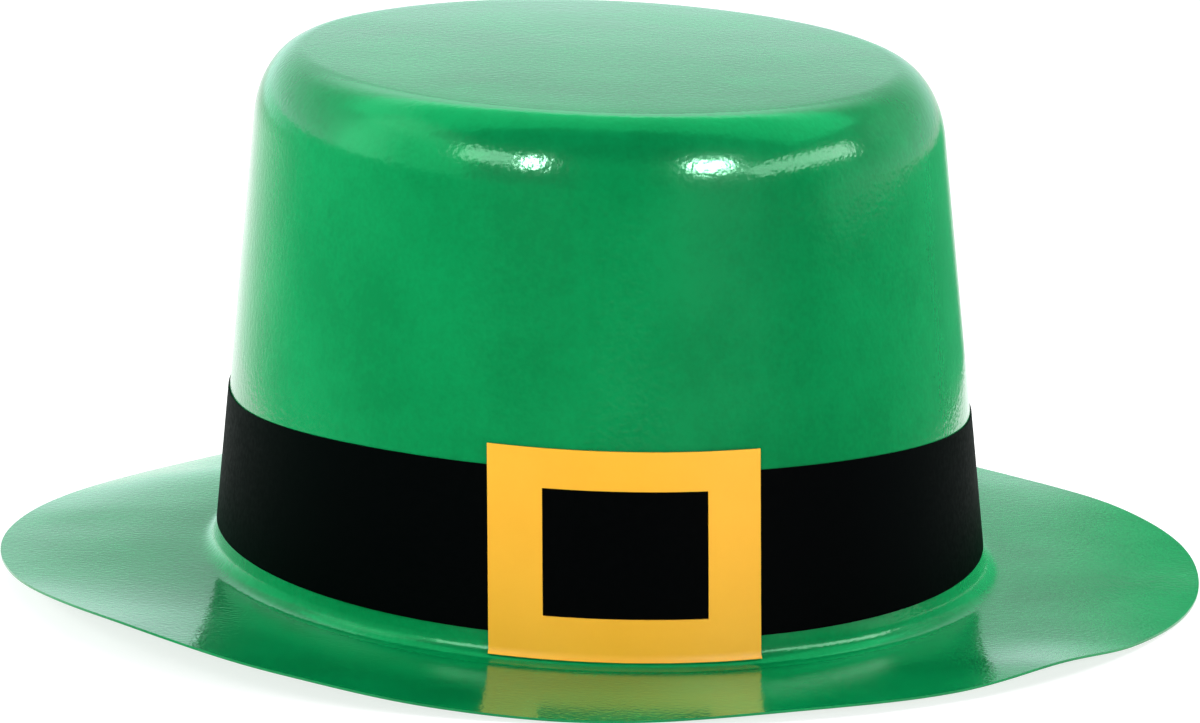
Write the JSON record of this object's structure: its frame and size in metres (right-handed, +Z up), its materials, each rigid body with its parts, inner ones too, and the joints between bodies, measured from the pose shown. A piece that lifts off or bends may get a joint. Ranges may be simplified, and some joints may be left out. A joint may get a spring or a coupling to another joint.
{
  "type": "leprechaun hat",
  "caption": "Oval thermoformed top hat, hollow and open below, with a wavy brim, a black band round the crown's foot and a rectangular amber buckle frame.",
  "frame": {"origin": "on the surface that the hat rests on, under the centre of the brim's plan", "axes": "+Z up, the buckle faces -Y, +X to the right seen from the front"},
  "size_m": [0.2658, 0.2854, 0.1161],
  "materials": {
    "green_plastic": "glossy, with a fine embossed grain",
    "black_strip": "satin",
    "amber_card": "satin, printed"
  },
  "bodies": {
    "root": {"hat_shell": "green_plastic", "hat_band": "black_strip", "buckle": "amber_card"}
  },
  "joints": []
}
